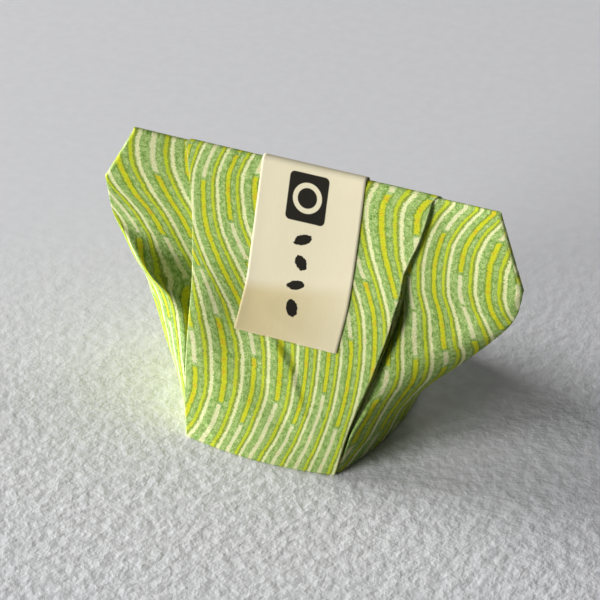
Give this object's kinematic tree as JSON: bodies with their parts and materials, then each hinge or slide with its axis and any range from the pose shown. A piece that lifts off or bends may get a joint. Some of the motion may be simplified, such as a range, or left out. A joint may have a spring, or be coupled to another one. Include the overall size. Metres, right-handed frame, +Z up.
{
  "type": "wrapped kuzu mochi",
  "caption": "Soft sweet wrapped in wavy-striped paper: flat foot, pinched straight ridge, folded ears at both sides, and a cream label folded over the top.",
  "frame": {"origin": "on the surface the pack stands on, under the middle of its outline", "axes": "+X along the ridge to the viewer's right, -Y to the front with the label's long end, +Z up"},
  "size_m": [0.1062, 0.0616, 0.0656],
  "materials": {
    "patterned_paper": "matt fibrous paper, wavy green, yellow and cream stripes",
    "label_paper": "smooth cream paper, slight sheen"
  },
  "bodies": {
    "root": {"wrapper": "patterned_paper", "label": "label_paper"}
  },
  "joints": []
}
